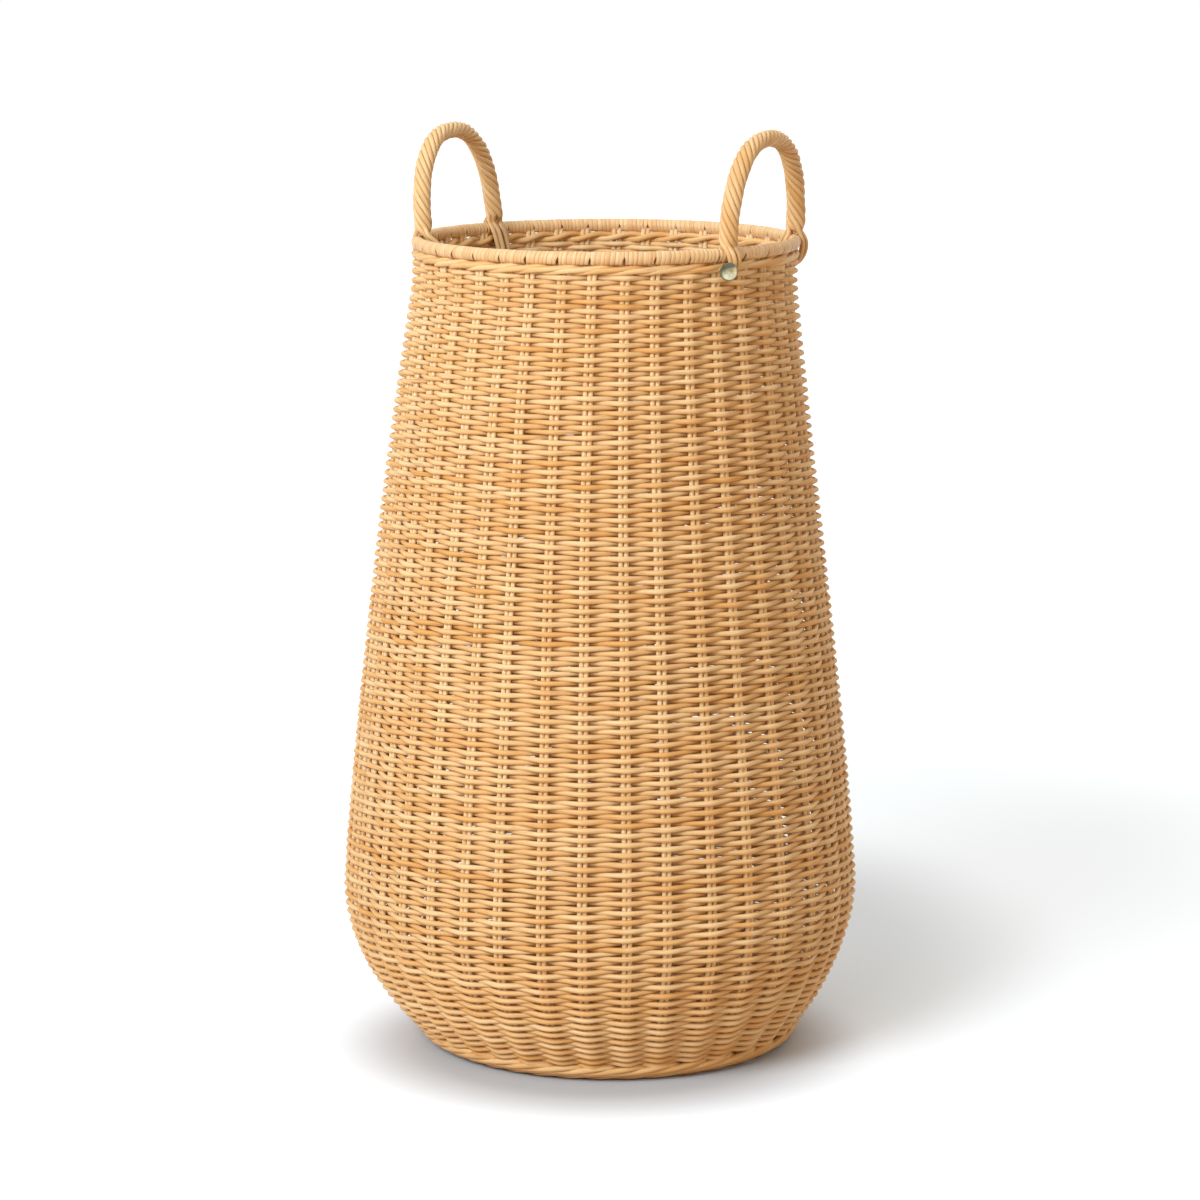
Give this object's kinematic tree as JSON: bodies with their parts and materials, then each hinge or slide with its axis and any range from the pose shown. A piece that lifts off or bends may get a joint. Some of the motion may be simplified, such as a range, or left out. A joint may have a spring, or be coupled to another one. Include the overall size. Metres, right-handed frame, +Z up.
{
  "type": "laundry basket",
  "caption": "Tall woven rattan laundry basket with a round belly, a narrow wrapped rim and rigid roped loop handles on both sides.",
  "frame": {"origin": "on the floor, below the axis of the belly", "axes": "+Z up, -Y towards the front, the handles lie to the left (-X) and right (+X)"},
  "size_m": [0.3827, 0.3827, 0.6788],
  "materials": {
    "weaver_rods": "natural rattan, matt with a faint sheen",
    "stake_rods": "pale natural rattan, matt",
    "foot_rods": "natural rattan, matt, a little darker",
    "rim_peel": "smooth rattan peel, slightly glossy",
    "handle_rods": "smooth rattan rods, slightly glossy",
    "badge_brass": "polished, domed, bare"
  },
  "bodies": {
    "root": {"foot_border": "foot_rods", "base_cross_lower": "stake_rods", "base_cross_upper": "stake_rods", "base_weave": "weaver_rods", "stake_pair_01": "stake_rods", "stake_pair_02": "stake_rods", "stake_pair_03": "stake_rods", "stake_pair_04": "stake_rods", "stake_pair_05": "stake_rods", "stake_pair_06": "stake_rods", "stake_pair_07": "stake_rods", "stake_pair_08": "stake_rods", "stake_pair_09": "stake_rods", "stake_pair_10": "stake_rods", "stake_pair_11": "stake_rods", "stake_pair_12": "stake_rods", "stake_pair_13": "stake_rods", "stake_pair_14": "stake_rods", "stake_pair_15": "stake_rods", "stake_pair_16": "stake_rods", "stake_pair_17": "stake_rods", "stake_pair_18": "stake_rods", "stake_pair_19": "stake_rods", "stake_pair_20": "stake_rods", "stake_pair_21": "stake_rods", "stake_pair_22": "stake_rods", "stake_pair_23": "stake_rods", "stake_pair_24": "stake_rods", "stake_pair_25": "stake_rods", "stake_pair_26": "stake_rods", "stake_pair_27": "stake_rods", "stake_pair_28": "stake_rods", "stake_pair_29": "stake_rods", "stake_pair_30": "stake_rods", "stake_pair_31": "stake_rods", "stake_pair_32": "stake_rods", "stake_pair_33": "stake_rods", "stake_pair_34": "stake_rods", "stake_pair_35": "stake_rods", "stake_pair_36": "stake_rods", "stake_pair_37": "stake_rods", "stake_pair_38": "stake_rods", "siding_lower": "weaver_rods", "siding_middle": "weaver_rods", "siding_upper": "weaver_rods", "top_wale": "weaver_rods", "rim_hoop": "stake_rods", "rim_lashing": "rim_peel", "handle_core_left": "stake_rods", "handle_strands_left": "handle_rods", "handle_core_right": "stake_rods", "handle_strands_right": "handle_rods", "badge_disc": "badge_brass", "badge_pin": "badge_brass"}
  },
  "joints": []
}
